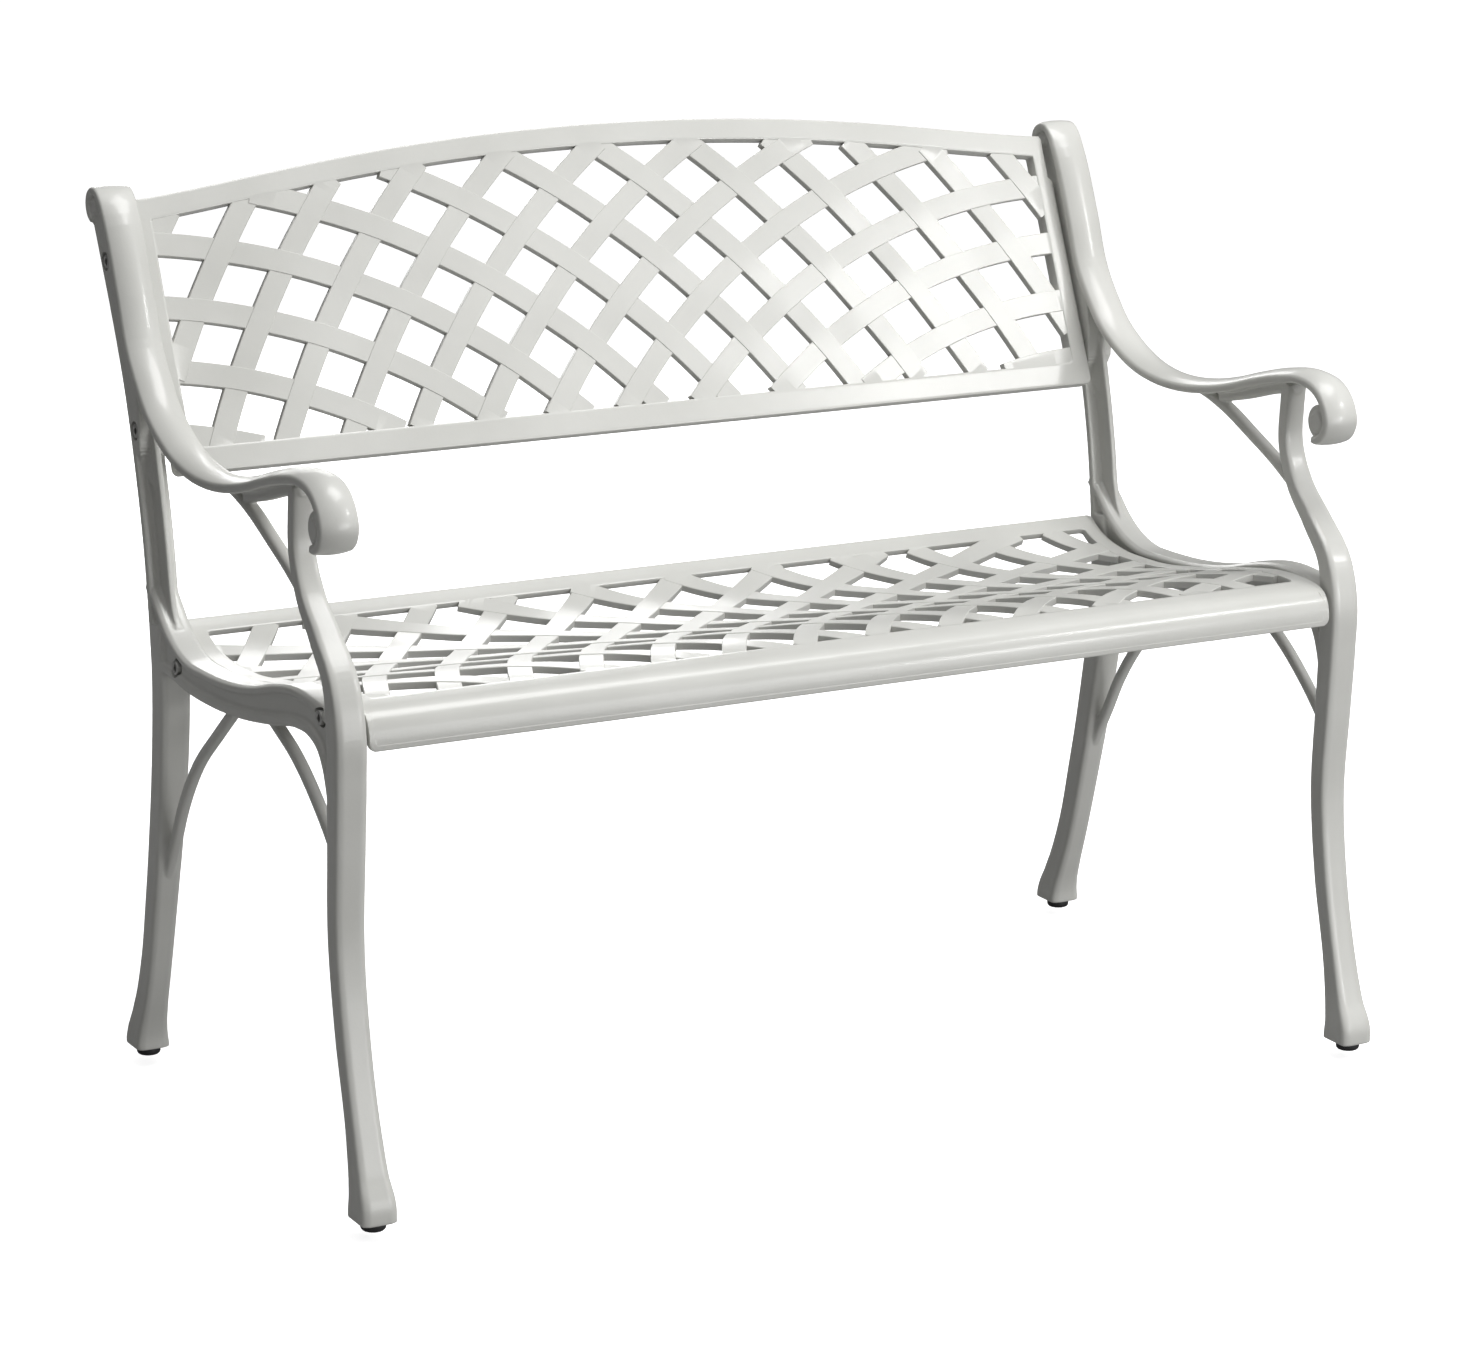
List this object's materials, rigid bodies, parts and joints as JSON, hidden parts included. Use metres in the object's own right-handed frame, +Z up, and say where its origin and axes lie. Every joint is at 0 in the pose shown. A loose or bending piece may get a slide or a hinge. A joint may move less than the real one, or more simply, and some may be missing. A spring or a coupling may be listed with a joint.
{
  "type": "garden bench",
  "caption": "Cast garden bench: two scrolled side frames, an arched lattice back panel and a dished lattice seat, on screw-in feet.",
  "frame": {"origin": "middle of the footprint box, on the ground", "axes": "+X along the seat to the sitter's left, +Y from the front edge to the back panel, +Z up"},
  "size_m": [1.036, 0.5882, 0.8296],
  "materials": {
    "powder_coat": "smooth semi-gloss off-white powder coat",
    "bolt_steel": "zinc-plated steel",
    "washer_steel": "zinc-plated steel",
    "nylon": "black nylon"
  },
  "bodies": {
    "bench": {"left_side_frame": "powder_coat", "right_side_frame": "powder_coat", "back_panel": "powder_coat", "seat_panel": "powder_coat", "bolt_back_upper_left": "bolt_steel", "flat_washer_back_upper_left": "washer_steel", "spring_washer_back_upper_left": "washer_steel", "bolt_back_lower_left": "bolt_steel", "flat_washer_back_lower_left": "washer_steel", "spring_washer_back_lower_left": "washer_steel", "bolt_seat_rear_left": "bolt_steel", "flat_washer_seat_rear_left": "washer_steel", "spring_washer_seat_rear_left": "washer_steel", "bolt_seat_front_left": "bolt_steel", "flat_washer_seat_front_left": "washer_steel", "spring_washer_seat_front_left": "washer_steel", "bolt_back_upper_right": "bolt_steel", "flat_washer_back_upper_right": "washer_steel", "spring_washer_back_upper_right": "washer_steel", "bolt_back_lower_right": "bolt_steel", "flat_washer_back_lower_right": "washer_steel", "spring_washer_back_lower_right": "washer_steel", "bolt_seat_rear_right": "bolt_steel", "flat_washer_seat_rear_right": "washer_steel", "spring_washer_seat_rear_right": "washer_steel", "bolt_seat_front_right": "bolt_steel", "flat_washer_seat_front_right": "washer_steel", "spring_washer_seat_front_right": "washer_steel"},
    "foot_front_left": {"foot_pad_front_left": "nylon", "foot_stem_front_left": "bolt_steel"},
    "foot_rear_left": {"foot_pad_rear_left": "nylon", "foot_stem_rear_left": "bolt_steel"},
    "foot_front_right": {"foot_pad_front_right": "nylon", "foot_stem_front_right": "bolt_steel"},
    "foot_rear_right": {"foot_pad_rear_right": "nylon", "foot_stem_rear_right": "bolt_steel"}
  },
  "joints": [
    {"name": "foot_front_left_screw", "type": "slide", "parent": "bench", "child": "foot_front_left", "axis": [0, 0, -1], "range_m": [0, 0.008]},
    {"name": "foot_rear_left_screw", "type": "slide", "parent": "bench", "child": "foot_rear_left", "axis": [0, 0, -1], "range_m": [0, 0.008]},
    {"name": "foot_front_right_screw", "type": "slide", "parent": "bench", "child": "foot_front_right", "axis": [0, 0, -1], "range_m": [0, 0.008]},
    {"name": "foot_rear_right_screw", "type": "slide", "parent": "bench", "child": "foot_rear_right", "axis": [0, 0, -1], "range_m": [0, 0.008]}
  ]
}
